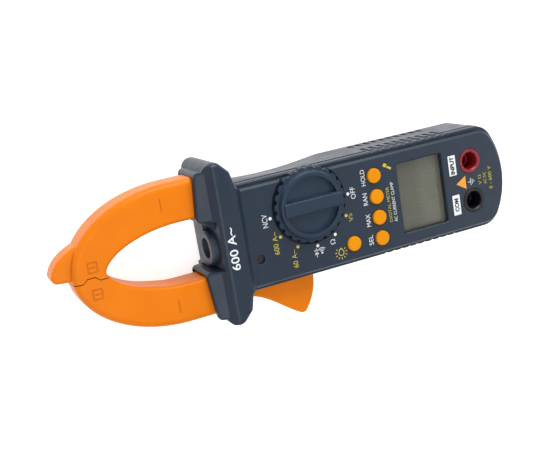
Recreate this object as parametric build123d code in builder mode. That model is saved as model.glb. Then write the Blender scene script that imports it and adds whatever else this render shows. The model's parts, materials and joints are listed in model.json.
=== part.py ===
from build123d import *
import os
from math import cos, radians, sin

# Clamp meter, lying on its back with its display upwards. Millimetres.
# +Y runs along the handle towards the jaws, +X to the reader's right, +Z out of the face.
# The origin is on the back plane, level with the middle of the rotary switch.

# ---------------------------------------------------------------- driving dimensions
THICK = 32.0            # back plane to face plane
SPLIT_Z = 25.0          # parting plane of the two covers
TIER_Z = 29.0           # top of the stepped edge of the front cover
WALL = 2.2              # cover wall
BODY_HALF = 24.5        # half width of the handle
WAIST_Y = 8.5           # middle of the waist on the sides of the rear cover
WAIST_R = 175.0
WAIST_LEAN = 6.5        # degrees; the waist fades out at the parting plane
END_Y = -105.5          # jack end of the handle
SHOULDER_Y = -97.0      # where the end arc meets the sides
COLLAR_TOP_Y = 46.0     # front wall of the collar
RIDGE_Y = 42.3          # front edge of the flat band on top of the hand guard
BAND_Y = 33.4           # rear edge of that band
RECESS_Y = 43.6         # front wall between the sleeves
FLANGE_HALF = 36.2      # half width of the hand guard
FLANGE_FRONT_Z = 34.3
FLANGE_REAR_Z = 2.0
SLEEVE_HALF = 33.0      # half width of the sleeves that hold the jaw roots
SLEEVE_INNER = 11.0
SLEEVE_Y = 51.0
SLEEVE_FRONT_Z = 28.5
SLEEVE_REAR_Z = 7.5

JAW_FRONT_Z = 26.0
JAW_REAR_Z = 10.0
JAW_MID_Z = (JAW_FRONT_Z + JAW_REAR_Z) / 2
JAW_HALF = 31.0         # outer half width of the closed jaws
JAW_BASE_Y = 60.0       # the jaws are straight below this line
JAW_TIP_Y = 107.0
GRIP_Y = -36.5          # first finger groove
GRIP_PITCH = 4.2
GRIP_COUNT = 10
GRIP_R = 1.25

WINDOW_HALF = 13.3      # half width of the jaw window
WINDOW_BASE_Y = 58.0
WINDOW_TIP_Y = 92.5
WINDOW_POWER = 0.62     # below 0.5 is blunter, above is more pointed than an ellipse
JAW_WALL = 2.0
CORE_INSET = 4.8
TIP_GAP = 0.4           # gap between the jaw tips

PIVOT = (-22.5, 41.0)   # jaw hinge
ROOT_R = 6.2            # round root of the moving jaw
PIN_R = 2.5
RUN = 0.05              # radial running clearance
SPRING_R = 4.1          # return spring, to the middle of its wire
WIRE_R = 0.4

DIAL = (8.6, 0.0)       # rotary switch
KNOB_R = 17.2
KNOB_Z = 31.3           # underside of the knob
STEM_R = 4.0
DETENT_R = 13.0
DETENT_STEP = 29.0      # degrees from one position to the next
BALL_R = 1.0

BUTTON_R = 3.4
BUTTON_TOP = THICK + 1.3
BUTTON_TRAVEL = 0.8
BUTTON_Y = -33.5
BUTTON_PITCH = 9.73
BUTTONS = {
    "button_hold": (13.9, BUTTON_Y),
    "button_range": (13.9 - BUTTON_PITCH, BUTTON_Y),
    "button_max": (13.9 - 2 * BUTTON_PITCH, BUTTON_Y),
    "button_select": (13.9 - 3 * BUTTON_PITCH, BUTTON_Y),
    "button_light": (-14.35, -18.9),
}

LCD_Y = -57.95          # middle of the display window
LCD_W = 32.7
LCD_H = 24.1

JACK_PITCH = 19.0       # standard spacing of 4 mm sockets
JACK_Y = -85.1
JACK_R = 5.7
SOCKET_R = 2.0
SOCKETS = [(JACK_PITCH / 2, JACK_Y), (-JACK_PITCH / 2, JACK_Y)]

NCV = (-10.1, 26.7)     # proximity indicator
NCV_R = 2.1
NOZZLE = (-2.0, 20.0)   # torch axis, as (x, z)
NOZZLE_R = 7.9

BOARD_Z = 23.9
BOARD_T = 1.6
BOARD_TOP = BOARD_Z + BOARD_T

CELL_R = 5.25           # AAA cell
CELL_L = 44.5
CELL_X = 5.9
CELL_Z = 8.2
BAY_HALF = 12.6         # battery bay
BAY_Y = (-76.5, -26.5)
BAY_ROOF_Z = 14.6
DOOR_SCREW = (0, BAY_Y[0] - 4.0)

CASE_SCREWS = [(17.0, -93.0), (-17.0, -93.0), (17.5, 21.0), (-4.0, 21.0)]
BOARD_SCREWS = [(17.0, -25.5), (-17.0, -75.8), (17.0, -75.8)]

os.makedirs("parts", exist_ok=True)


def save(builder, name):
    """Label one finished piece and write its STEP file."""
    builder.part.label = name
    export_step(builder.part, f"parts/{name}.step")


def prism(sketch, low, high):
    """A plan sketch extruded from one height to another."""
    with BuildPart(mode=Mode.PRIVATE) as block:
        with BuildSketch(Plane.XY.offset(low)):
            add(sketch)
        extrude(amount=high - low)
    return block.part


def posts(points, radius, low, high):
    """Upright round bars on a list of plan points."""
    with BuildPart(mode=Mode.PRIVATE) as block:
        with BuildSketch(Plane.XY.offset(low)):
            with Locations(*points):
                Circle(radius)
        extrude(amount=high - low)
    return block.part


def slab(x0, x1, y0, y1, low, high, corner=0.0):
    """An upright-sided block between plan limits, with round corners if asked."""
    with BuildPart(mode=Mode.PRIVATE) as block:
        with BuildSketch(Plane.XY.offset(low)):
            with Locations(((x0 + x1) / 2, (y0 + y1) / 2)):
                if corner:
                    RectangleRounded(x1 - x0, y1 - y0, corner)
                else:
                    Rectangle(x1 - x0, y1 - y0)
        extrude(amount=high - low)
    return block.part


# ---------------------------------------------------------------- plan outlines
def handle_outline(inset=0.0, top=40.0):
    """Handle seen from the front: straight sides and an arched end."""
    half = BODY_HALF - inset
    shoulder = SHOULDER_Y + inset / 2
    with BuildSketch(mode=Mode.PRIVATE) as plan:
        with BuildLine():
            ThreePointArc((-half, shoulder), (0, END_Y + inset), (half, shoulder))
            Polyline((half, shoulder), (half, top), (-half, top), (-half, shoulder))
        make_face()
        fillet(plan.vertices().sort_by(Axis.Y)[:2], radius=max(10.0 - inset, 2.0))
    return plan.sketch


def flange_outline(inset=0.0):
    """Hand guard: a wide bar whose rear corners sweep back into the handle."""
    half = FLANGE_HALF - inset
    front = COLLAR_TOP_Y - inset
    right = [(half, front), (half, 39.4 + inset * 0.5), (31.0, 34.4 + inset), (24.6, 33.0 + inset),
             (21.5, 30.5 + inset)]
    left = [(-x, y) for x, y in reversed(right)]
    radii = [4.6 - inset, 4.2 - inset, 2.5 + inset, 2.0 + inset, 0.8]
    with BuildSketch(mode=Mode.PRIVATE) as plan:
        with BuildLine():
            FilletPolyline(*right, *left, radius=radii + radii[::-1], close=True)
        make_face()
    return plan.sketch


def sleeve_outline(side):
    """One of the two blocks in front of the guard that hold a jaw root."""
    inner = side * SLEEVE_INNER
    outer = side * SLEEVE_HALF
    with BuildSketch(mode=Mode.PRIVATE) as plan:
        with BuildLine():
            Polyline((inner, 38.0), (outer, 38.0), (outer, SLEEVE_Y - 1.8), (inner, SLEEVE_Y + 0.4),
                     close=True)
        make_face()
        fillet(plan.vertices().sort_by(Axis.Y)[-2:], radius=2.2)
    return plan.sketch


def cheek_outline(side):
    """Wedge that fills the corner between a sleeve, the guard and the nozzle."""
    outer = side * (SLEEVE_INNER + 1.0)
    inner = NOZZLE[0] + side * (NOZZLE_R + 0.7)
    with BuildSketch(mode=Mode.PRIVATE) as plan:
        with BuildLine():
            Polyline((outer, SLEEVE_Y - 1.5), (inner, RECESS_Y), (inner, 41.0), (outer, 41.0), close=True)
        make_face()
    return plan.sketch


def window_points(grow=0.0):
    """The rounded end of the jaw window, from its right foot over the tip to its left foot."""
    half = WINDOW_HALF + grow
    rise = WINDOW_TIP_Y + grow - WINDOW_BASE_Y
    shares = [sin(radians(angle)) for angle in (0, 18, 36, 54, 70, 82)]
    right = [(half * (1 - share * share) ** WINDOW_POWER, WINDOW_BASE_Y + rise * share) for share in shares]
    return right + [(0, WINDOW_BASE_Y + rise)] + [(-x, y) for x, y in reversed(right)]


def horseshoe(inset=0.0, bottom=38.5):
    """Both jaws in plan, before they are parted: an elliptic arch round a pointed window."""
    loop = window_points(inset)
    with BuildSketch(mode=Mode.PRIVATE) as arch:
        with Locations((0, JAW_BASE_Y)):
            Ellipse(JAW_HALF - inset, JAW_TIP_Y - JAW_BASE_Y - inset)
        with Locations((0, JAW_BASE_Y / 2)):
            Rectangle(200, JAW_BASE_Y, mode=Mode.SUBTRACT)
        with Locations((0, (JAW_BASE_Y + bottom) / 2)):
            Rectangle(2 * (JAW_HALF - inset), JAW_BASE_Y - bottom)
        with BuildLine():
            Spline(*loop, tangents=((0, 1), (0, -1)))
            Polyline(loop[-1], (loop[-1][0], bottom - 20), (loop[0][0], bottom - 20), loop[0])
        make_face(mode=Mode.SUBTRACT)
    return arch.sketch


def parting_region(side, setback=0.0):
    """Everything on one side of the stepped line where the jaw tips meet."""
    shift = side * setback
    step = [(-2.2, 130), (-2.2, 103), (-0.5, 101), (-0.5, 97.6), (-2.1, 95.8), (-2.1, 0)]
    line = [(x + shift, y) for x, y in step]
    with BuildSketch(mode=Mode.PRIVATE) as region:
        with BuildLine():
            Polyline(*line, (side * 60, 0), (side * 60, 130), close=True)
        make_face()
    return region.sketch


def nozzle_profile(grow=0.0):
    """Front view of the torch nozzle: a round boss on a low plate, in x and z."""
    x, z = NOZZLE
    with BuildSketch(mode=Mode.PRIVATE) as profile:
        with Locations((x, z)):
            Circle(NOZZLE_R + grow)
        with Locations((0, 12.5)):
            Rectangle(2 * (SLEEVE_INNER - 0.4 + grow), 11.0 + 2 * grow)
    return profile.sketch


# front view: sketches in x and z, extruded to -Y; side view: sketches in y and z, extruded to +X
FRONT_VIEW = Plane(origin=(0, 0, 0), x_dir=(1, 0, 0), z_dir=(0, -1, 0))
SIDE_VIEW = Plane(origin=(0, 0, 0), x_dir=(0, 1, 0), z_dir=(1, 0, 0))


# ---------------------------------------------------------------- collar shared by both covers
def across(sketch, half_width):
    """A side-view sketch extruded over a half width both ways."""
    with BuildPart(mode=Mode.PRIVATE) as block:
        with BuildSketch(SIDE_VIEW):
            add(sketch)
        extrude(amount=half_width, both=True)
    return block.part


def flange_section():
    """Side view of the hand guard: a sloping front, room for the band, a hollow sweep down to the face."""
    with BuildSketch(mode=Mode.PRIVATE) as section:
        with BuildLine():
            Polyline((29.4, THICK - 0.6), (25.0, THICK - 0.6), (25.0, 0.0), (COLLAR_TOP_Y + 1, 0.0),
                     (COLLAR_TOP_Y + 1, 28.6), (RIDGE_Y, FLANGE_FRONT_Z), (BAND_Y, FLANGE_FRONT_Z))
            ThreePointArc((BAND_Y, FLANGE_FRONT_Z), (31.9, 32.7), (29.4, THICK - 0.6))
        make_face()
        ridge = section.vertices().sort_by_distance((RIDGE_Y, FLANGE_FRONT_Z))[0]
        fillet(ridge, radius=2.0)
    return section.sketch


def sleeve_section():
    """Sleeve from the side: its front face leans forward and down from the guard."""
    with BuildSketch(mode=Mode.PRIVATE) as section:
        with BuildLine():
            Polyline((38.0, SLEEVE_REAR_Z), (53.0, SLEEVE_REAR_Z), (53.0, SLEEVE_FRONT_Z - 0.8),
                     (44.0, SLEEVE_FRONT_Z + 2.9), (38.0, SLEEVE_FRONT_Z + 2.9), close=True)
        make_face()
    return section.sketch


def sleeve_block(side):
    """A jaw sleeve with its front and rear rims rounded, and the cheek beside it."""
    with BuildPart(mode=Mode.PRIVATE) as block:
        add(prism(sleeve_outline(side), 0, 40))
        add(across(sleeve_section(), 40), mode=Mode.INTERSECT)
        rims = block.faces().sort_by(Axis.Z)[0].edges()
        fillet(rims.filter_by(lambda e: e.center().Y > 39), radius=1.2)
        rims = block.faces().filter_by(lambda f: f.center().Z > 28 and f.normal_at().Z > 0.5).edges()
        fillet(rims.filter_by(lambda e: e.center().Y > 46), radius=1.2)
        add(prism(cheek_outline(side), SLEEVE_REAR_Z + 1, SLEEVE_FRONT_Z - 0.5))
    return block.part


with BuildPart() as collar:
    add(prism(flange_outline(), FLANGE_REAR_Z, FLANGE_FRONT_Z))
    fillet(collar.faces().sort_by(Axis.Z)[0].edges(), radius=1.8)
    fillet(collar.faces().sort_by(Axis.Z)[-1].edges(), radius=2.6)
    add(across(flange_section(), 40), mode=Mode.INTERSECT)
    add(slab(-SLEEVE_INNER, SLEEVE_INNER, RECESS_Y, 50, -1, 40), mode=Mode.SUBTRACT)
    add(sleeve_block(-1))
    add(sleeve_block(1))


# ---------------------------------------------------------------- cuts that both covers need
def grip_grooves(low, high):
    """Shallow upright finger grooves down both sides beside the display."""
    steps = [GRIP_Y - GRIP_PITCH * i for i in range(GRIP_COUNT)]
    spots = [(side * (BODY_HALF + 0.4), y) for side in (-1, 1) for y in steps]
    return posts(spots, GRIP_R, low, high)


def waist_cut(side, setback=0.0):
    """Big leaning cylinder that hollows one side of the handle, deepest at the back."""
    middle_x = BODY_HALF - setback + WAIST_R / cos(radians(WAIST_LEAN))
    with BuildPart(mode=Mode.PRIVATE) as block:
        with Locations(Location((side * middle_x, WAIST_Y, SPLIT_Z), (0, side * WAIST_LEAN, 0))):
            Cylinder(WAIST_R, 200)
    return block.part


def fixed_jaw_passage():
    """Snug opening for the root of the fixed jaw."""
    return slab(WINDOW_HALF - 0.1, JAW_HALF + 0.1, 40.0, 60.0, JAW_REAR_Z - 0.1, JAW_FRONT_Z + 0.1)


def moving_jaw_passage():
    """Wide opening, open to the side, through which the moving jaw swings."""
    with BuildSketch(mode=Mode.PRIVATE) as plan:
        with BuildLine():
            Polyline((-12.2, 40), (-12.2, 60), (-40, 60), (-40, COLLAR_TOP_Y),
                     (-FLANGE_HALF + 2.0, COLLAR_TOP_Y), (-FLANGE_HALF + 2.0, 40), close=True)
        make_face()
    return prism(plan.sketch, JAW_REAR_Z - 0.5, JAW_FRONT_Z + 0.5)


def collar_hollow():
    """Room inside the hand guard, with a round relief for the root of the moving jaw."""
    with BuildPart(mode=Mode.PRIVATE) as block:
        add(prism(flange_outline(WALL), FLANGE_REAR_Z + WALL, FLANGE_FRONT_Z - WALL - 0.9))
        add(slab(-SLEEVE_INNER - WALL, SLEEVE_INNER + WALL, RECESS_Y - WALL, 50, -1, 40), mode=Mode.SUBTRACT)
        add(posts([PIVOT], ROOT_R + 0.4, JAW_REAR_Z - 0.5, JAW_FRONT_Z + 0.5))
    return block.part


def nozzle_arch():
    """Opening between the sleeves for the torch nozzle."""
    with BuildPart(mode=Mode.PRIVATE) as block:
        with BuildSketch(FRONT_VIEW.offset(-SLEEVE_Y - 1)):
            add(nozzle_profile(0.1))
        extrude(amount=SLEEVE_Y + 1 - 38.0)
    return block.part


# ---------------------------------------------------------------- front cover
with BuildPart() as front_cover:
    # stepped edge: a wide lower tier and the face plate on top of it
    with BuildSketch(Plane.XY.offset(SPLIT_Z)):
        add(handle_outline(0.25))
    extrude(amount=TIER_Z - SPLIT_Z)
    fillet(front_cover.edges().group_by(Axis.Z)[-1].filter_by(lambda e: e.center().Y < 39), radius=1.0)
    add(prism(handle_outline(2.2), TIER_Z - 1.5, THICK))
    chamfer(front_cover.edges().group_by(Axis.Z)[-1].filter_by(lambda e: e.center().Y < 39), length=0.9)
    add(split(collar.part, bisect_by=Plane.XY.offset(SPLIT_Z), keep=Keep.TOP, mode=Mode.PRIVATE))
    # hollow of the handle, the collar, the jaw roots and the nozzle
    add(prism(handle_outline(WALL + 2.0, top=36.0), SPLIT_Z, THICK - 2.4), mode=Mode.SUBTRACT)
    add(collar_hollow(), mode=Mode.SUBTRACT)
    add(fixed_jaw_passage(), mode=Mode.SUBTRACT)
    add(moving_jaw_passage(), mode=Mode.SUBTRACT)
    add(nozzle_arch(), mode=Mode.SUBTRACT)
    # screw posts; those of the board stop on top of it
    add(posts(CASE_SCREWS, 2.9, SPLIT_Z, THICK - 2.0))
    add(posts(BOARD_SCREWS, 2.4, BOARD_TOP, THICK - 2.0))
    add(posts([PIVOT], 4.2, JAW_FRONT_Z + 0.35, FLANGE_FRONT_Z) & collar.part)
    add(posts(CASE_SCREWS, 1.1, SPLIT_Z, THICK - 2.6), mode=Mode.SUBTRACT)
    add(posts(BOARD_SCREWS, 0.9, BOARD_TOP, THICK - 2.6), mode=Mode.SUBTRACT)
    add(posts([PIVOT], PIN_R, JAW_FRONT_Z, THICK - 1.6), mode=Mode.SUBTRACT)
    # rotary switch: a shallow round seat, a bearing hole and a dimple for each position
    add(posts([DIAL], KNOB_R + 0.7, KNOB_Z - 0.3, THICK + 1), mode=Mode.SUBTRACT)
    add(posts([DIAL], KNOB_R + 0.7, KNOB_Z - 0.9, KNOB_Z) - posts([DIAL], KNOB_R - 1.7, 0, 40),
        mode=Mode.SUBTRACT)
    add(posts([DIAL], STEM_R + RUN, SPLIT_Z, THICK), mode=Mode.SUBTRACT)
    with Locations(Plane(origin=(DIAL[0], DIAL[1], KNOB_Z + 0.7))):
        with PolarLocations(DETENT_R, 7, -90 - 6 * DETENT_STEP, 7 * DETENT_STEP):
            Sphere(1.5, mode=Mode.SUBTRACT)
    # buttons, display window with a bevelled edge, sockets and indicator
    add(posts(BUTTONS.values(), BUTTON_R + 0.25, SPLIT_Z, THICK + 1), mode=Mode.SUBTRACT)
    add(slab(-LCD_W / 2, LCD_W / 2, LCD_Y - LCD_H / 2, LCD_Y + LCD_H / 2, SPLIT_Z, THICK + 1, 0.8),
        mode=Mode.SUBTRACT)
    with BuildSketch(Plane.XY.offset(THICK)):
        with Locations((0, LCD_Y)):
            RectangleRounded(LCD_W + 1.0, LCD_H + 1.0, 1.2)
    extrude(amount=-0.5, taper=45, mode=Mode.SUBTRACT)
    add(posts(SOCKETS, JACK_R + 0.1, SPLIT_Z, THICK + 1), mode=Mode.SUBTRACT)
    add(posts([NCV], NCV_R, SPLIT_Z, THICK + 1), mode=Mode.SUBTRACT)
    add(grip_grooves(SPLIT_Z - 1, THICK - 1.8), mode=Mode.SUBTRACT)
save(front_cover, "front_cover")

# ---------------------------------------------------------------- rear cover
TRIGGER_SLOT = (-40.0, -19.5, -4.5, 33.5, 10.6, 23.4)

with BuildPart() as rear_cover:
    with BuildSketch():
        add(handle_outline())
    extrude(amount=SPLIT_Z)
    fillet(rear_cover.edges().group_by(Axis.Z)[0].filter_by(lambda e: e.center().Y < 39), radius=4.0)
    add([waist_cut(-1), waist_cut(1)], mode=Mode.SUBTRACT)
    add(split(collar.part, bisect_by=Plane.XY.offset(SPLIT_Z), keep=Keep.BOTTOM, mode=Mode.PRIVATE))
    handle_room = prism(handle_outline(WALL, top=36.0), WALL + 2.0, SPLIT_Z)
    add(handle_room - [waist_cut(-1, WALL), waist_cut(1, WALL)], mode=Mode.SUBTRACT)
    add(collar_hollow(), mode=Mode.SUBTRACT)
    add(fixed_jaw_passage(), mode=Mode.SUBTRACT)
    add(moving_jaw_passage(), mode=Mode.SUBTRACT)
    add(nozzle_arch(), mode=Mode.SUBTRACT)
    # posts for the case screws and the jaw pin, walls of the battery bay
    add(posts(CASE_SCREWS, 3.6, 1.0, SPLIT_Z))
    add(posts([PIVOT], SPRING_R + 0.6, 4.2, JAW_REAR_Z), mode=Mode.SUBTRACT)
    add(posts([PIVOT], 3.4, 3.0, JAW_REAR_Z - 0.35))
    add(slab(-BAY_HALF - 1.6, BAY_HALF + 1.6, BAY_Y[0] - 1.6, BAY_Y[1] + 1.6, 1.0, BAY_ROOF_Z + 1.6))
    add(slab(-BAY_HALF, BAY_HALF, BAY_Y[0], BAY_Y[1], -1.0, BAY_ROOF_Z), mode=Mode.SUBTRACT)
    # seat of the battery cover, and the nut boss of its screw
    add(slab(-BAY_HALF - 1.2, BAY_HALF + 1.2, BAY_Y[0] - 7.0, BAY_Y[1] + 2.0, -1.0, 2.1, 2.0),
        mode=Mode.SUBTRACT)
    add(posts([DOOR_SCREW], 3.0, 2.1, 9.0))
    add(posts([DOOR_SCREW], 1.1, 1.0, 8.0), mode=Mode.SUBTRACT)
    # counterbored screw holes and the pin hole
    add(posts(CASE_SCREWS, 1.6, -1.0, SPLIT_Z), mode=Mode.SUBTRACT)
    add(posts(CASE_SCREWS, 2.7, -1.0, 17.0), mode=Mode.SUBTRACT)
    add(posts([PIVOT], PIN_R, 4.5, JAW_REAR_Z), mode=Mode.SUBTRACT)
    # slot in the side for the trigger, and finger grooves
    x0, x1, y0, y1, low, high = TRIGGER_SLOT
    add(slab(x0, x1, y0, y1, low, high), mode=Mode.SUBTRACT)
    add(slab(-29.0, x1, y1 - 1, y1 + 5.0, low, high), mode=Mode.SUBTRACT)
    add(grip_grooves(18.0, SPLIT_Z + 1), mode=Mode.SUBTRACT)
    add(grip_grooves(5.0, 10.5), mode=Mode.SUBTRACT)
save(rear_cover, "rear_cover")

# ---------------------------------------------------------------- battery cover and fasteners
with BuildPart() as battery_cover:
    add(slab(-BAY_HALF - 1.0, BAY_HALF + 1.0, BAY_Y[0] - 6.8, BAY_Y[1] + 1.8, 0.0, 2.0, 1.8))
    chamfer(battery_cover.edges().group_by(Axis.Z)[0], length=0.4)
    for i in range(5):
        add(slab(-7.0, 7.0, -34.0 - 2.2 * i, -33.0 - 2.2 * i, -0.1, 0.5, 0.4), mode=Mode.SUBTRACT)
    add(posts([DOOR_SCREW], 1.5, -1, 3), mode=Mode.SUBTRACT)
    add(posts([DOOR_SCREW], 2.6, -1, 1.2), mode=Mode.SUBTRACT)
save(battery_cover, "battery_cover")


def screw(x, y, head_z, head_r, head_h, shank_r, length):
    """Pan-head screw driven upwards from behind, with a cross recess."""
    with BuildPart(mode=Mode.PRIVATE) as piece:
        add(posts([(x, y)], head_r, head_z, head_z + head_h))
        fillet(piece.edges().group_by(Axis.Z)[0], radius=head_h * 0.4)
        add(posts([(x, y)], shank_r, head_z + head_h, head_z + head_h + length))
        chamfer(piece.edges().group_by(Axis.Z)[-1], length=shank_r * 0.5)
        for wide, deep in ((head_r * 1.2, head_r * 0.3), (head_r * 0.3, head_r * 1.2)):
            add(slab(x - wide / 2, x + wide / 2, y - deep / 2, y + deep / 2, head_z - 1,
                     head_z + head_h * 0.6), mode=Mode.SUBTRACT)
    return piece.part


with BuildPart() as case_screws:
    for x, y in CASE_SCREWS:
        add(screw(x, y, 15.2, 2.4, 1.8, 1.1, 11.0))
save(case_screws, "case_screws")

with BuildPart() as battery_cover_screw:
    add(screw(*DOOR_SCREW, 0.1, 2.3, 1.1, 1.1, 6.0))
save(battery_cover_screw, "battery_cover_screw")

with BuildPart() as board_screws:
    for x, y in BOARD_SCREWS:
        add(screw(x, y, BOARD_Z - 1.4, 2.0, 1.4, 0.9, 5.0))
save(board_screws, "board_screws")

# ---------------------------------------------------------------- jaws
CORE_LOW = JAW_MID_Z - 4.0
CORE_HIGH = JAW_MID_Z + 4.0
HUB_R = ROOT_R - 1.5        # solid hub of the moving jaw round its pin
COIL_Y = (50.0, 63.0)
COIL_X = 22.2
BOBBIN_HALF = 5.2           # half width of the bobbin's tube

with BuildPart() as jaw_blank:
    with BuildSketch(Plane.XY.offset(JAW_REAR_Z)):
        add(horseshoe())
    extrude(amount=JAW_FRONT_Z - JAW_REAR_Z)
    rims = jaw_blank.edges().group_by(Axis.Z)
    rims = (rims[0] + rims[-1]).filter_by(lambda e: e.center().Y > 39)
    outer_rims = rims.filter_by(lambda e: abs(e.center().X) > 20 or e.center().Y > 99)
    inner_rims = rims.filter_by(lambda e: abs(e.center().X) < 20 and e.center().Y < 99)
    fillet(outer_rims, radius=3.0)
    fillet(inner_rims, radius=1.6)


def jaw_cavity(side):
    """Room inside one jaw for its core and coil, closed at the tip by a thin wall."""
    with BuildSketch(mode=Mode.PRIVATE) as plan:
        add(horseshoe(JAW_WALL, bottom=30.0))
        add(parting_region(side, 1.0 + TIP_GAP / 2), mode=Mode.INTERSECT)
    return prism(plan.sketch, JAW_REAR_Z + JAW_WALL, JAW_FRONT_Z - JAW_WALL)


def jaw_core(side, bottom):
    """Laminated core limb that follows the jaw."""
    with BuildSketch(mode=Mode.PRIVATE) as plan:
        add(horseshoe(CORE_INSET, bottom=bottom))
        add(parting_region(side, 1.2 + TIP_GAP / 2), mode=Mode.INTERSECT)
    return prism(plan.sketch, CORE_LOW, CORE_HIGH)


def tip_marks(side):
    """Sunken frame near the tip and a centring line across the jaw, on the front."""
    with BuildPart(mode=Mode.PRIVATE) as marks:
        low = JAW_FRONT_Z - 0.3
        x0, x1 = (1.4, 6.2) if side > 0 else (-10.2, -5.4)
        add(slab(x0, x1, 95.9, 100.4, low, JAW_FRONT_Z + 1, 0.4))
        add(slab(x0 + 0.6, x1 - 0.6, 96.5, 99.8, low, JAW_FRONT_Z + 1, 0.3), mode=Mode.SUBTRACT)
        add(slab((x0 + x1) / 2 - 0.3, (x0 + x1) / 2 + 0.3, 97.0, 99.4, low, JAW_FRONT_Z + 1))
        mid = side * 22.4
        add(slab(mid - 2.8, mid + 2.8, 64.6, 65.1, low, JAW_FRONT_Z + 1))
    return marks.part


with BuildPart() as fixed_jaw:
    add(jaw_blank.part)
    add(prism(parting_region(1, TIP_GAP / 2), 0, 50), mode=Mode.INTERSECT)
    with BuildPart(mode=Mode.PRIVATE) as hook:
        with BuildSketch(Plane.XY.offset(12.0)):
            with BuildLine():
                back = Spline((14.5, 100.0), (11.4, 107.2), (8.2, 111.6), (3.4, 114.7))
                nose = ThreePointArc(back @ 1, (0.4, 114.2), (-0.5, 112.2))
                Polyline(nose @ 1, (-1.2, 104.5), (6.0, 100.0), back @ 0)
            make_face()
        extrude(amount=11.0)
        rims = hook.edges().group_by(Axis.Z)
        fillet((rims[0] + rims[-1]).filter_by(lambda e: e.center().Y > 106), radius=1.6)
    add(hook.part)
    add(jaw_cavity(1), mode=Mode.SUBTRACT)
    add(tip_marks(1), mode=Mode.SUBTRACT)

with BuildPart() as fixed_jaw_front_shell:
    add(split(fixed_jaw.part, bisect_by=Plane.XY.offset(JAW_MID_Z), keep=Keep.TOP, mode=Mode.PRIVATE))
save(fixed_jaw_front_shell, "fixed_jaw_front_shell")

with BuildPart() as fixed_jaw_rear_shell:
    add(split(fixed_jaw.part, bisect_by=Plane.XY.offset(JAW_MID_Z), keep=Keep.BOTTOM, mode=Mode.PRIVATE))
save(fixed_jaw_rear_shell, "fixed_jaw_rear_shell")

with BuildPart() as fixed_jaw_core:
    add(jaw_core(1, 37.6))
    # foot that runs behind the torch to meet the moving core
    add(slab(-17.0, 20.2, 28.5, 35.4, CORE_LOW, CORE_HIGH))
    add(slab(WINDOW_HALF + CORE_INSET, 20.2, 28.5, 40.0, CORE_LOW, CORE_HIGH))
save(fixed_jaw_core, "fixed_jaw_core")

with BuildPart() as moving_jaw:
    with BuildPart(mode=Mode.PRIVATE) as half_blank:
        add(jaw_blank.part)
        add(prism(parting_region(-1, TIP_GAP / 2), 0, 50), mode=Mode.INTERSECT)
        add(slab(-40, 0, 20.0, PIVOT[1], 0, 50), mode=Mode.SUBTRACT)
    add(half_blank.part)
    add(posts([PIVOT], ROOT_R, JAW_REAR_Z, JAW_FRONT_Z))
    add(slab(-19.5, -WINDOW_HALF, 36.2, PIVOT[1] + 1.0, JAW_REAR_Z, JAW_FRONT_Z))
    add(jaw_cavity(-1), mode=Mode.SUBTRACT)
    add(slab(-19.05, -14.35, 30.0, 50.0, CORE_LOW, CORE_HIGH), mode=Mode.SUBTRACT)
    # solid hub round the pin, kept clear of the cavity
    add(posts([PIVOT], HUB_R, JAW_REAR_Z, JAW_FRONT_Z))
    add(posts([PIVOT], PIN_R + RUN, 0, 40), mode=Mode.SUBTRACT)
    add(tip_marks(-1), mode=Mode.SUBTRACT)

with BuildPart() as moving_jaw_core:
    with BuildPart(mode=Mode.PRIVATE) as limb:
        add(jaw_core(-1, 48.5))
    add(limb.part)
    add(slab(-19.0, -14.4, 36.0, 50.0, CORE_LOW, CORE_HIGH))
    add(posts([PIVOT], HUB_R + 0.2, 0, 40), mode=Mode.SUBTRACT)
save(moving_jaw_core, "moving_jaw_core")

# trigger: a lever beside the handle, joined to the root of the moving jaw
TRIGGER_LOW = 11.2
TRIGGER_HIGH = 22.8
TRIGGER_NOSE = (-43.2, 6.0)
with BuildPart() as trigger:
    with BuildSketch(Plane.XY.offset(TRIGGER_LOW)) as trigger_plan:
        with BuildLine():
            Polyline((-21.5, 38.0), (-21.5, 30.0), (-22.5, 26.0), (-22.5, -1.0))
            ThreePointArc((-22.5, -1.0), (-32.5, -0.2), TRIGGER_NOSE)
            Spline(TRIGGER_NOSE, (-35.6, 17.4), (-29.3, 27.6), (-28.0, 38.0))
            Line((-28.0, 38.0), (-21.5, 38.0))
        make_face()
        fillet(trigger_plan.vertices().sort_by_distance(TRIGGER_NOSE)[0], radius=2.6)
    extrude(amount=TRIGGER_HIGH - TRIGGER_LOW)
    rims = trigger.edges().group_by(Axis.Z)
    rims = (rims[0] + rims[-1]).filter_by(lambda e: e.center().X < -27 and e.center().Y < 26)
    fillet(rims, radius=1.4)
    add(posts([PIVOT], HUB_R + 0.2, 0, 40), mode=Mode.SUBTRACT)
save(trigger, "trigger")

with BuildPart() as moving_jaw_front_shell:
    add(split(moving_jaw.part, bisect_by=Plane.XY.offset(JAW_MID_Z), keep=Keep.TOP, mode=Mode.PRIVATE))
    add(slab(-40, -18.8, 20.0, 38.2, TRIGGER_LOW - 0.1, TRIGGER_HIGH + 0.1), mode=Mode.SUBTRACT)
save(moving_jaw_front_shell, "moving_jaw_front_shell")

with BuildPart() as moving_jaw_rear_shell:
    add(split(moving_jaw.part, bisect_by=Plane.XY.offset(JAW_MID_Z), keep=Keep.BOTTOM, mode=Mode.PRIVATE))
    add(slab(-40, -18.8, 20.0, 38.2, TRIGGER_LOW - 0.1, TRIGGER_HIGH + 0.1), mode=Mode.SUBTRACT)
save(moving_jaw_rear_shell, "moving_jaw_rear_shell")

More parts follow.
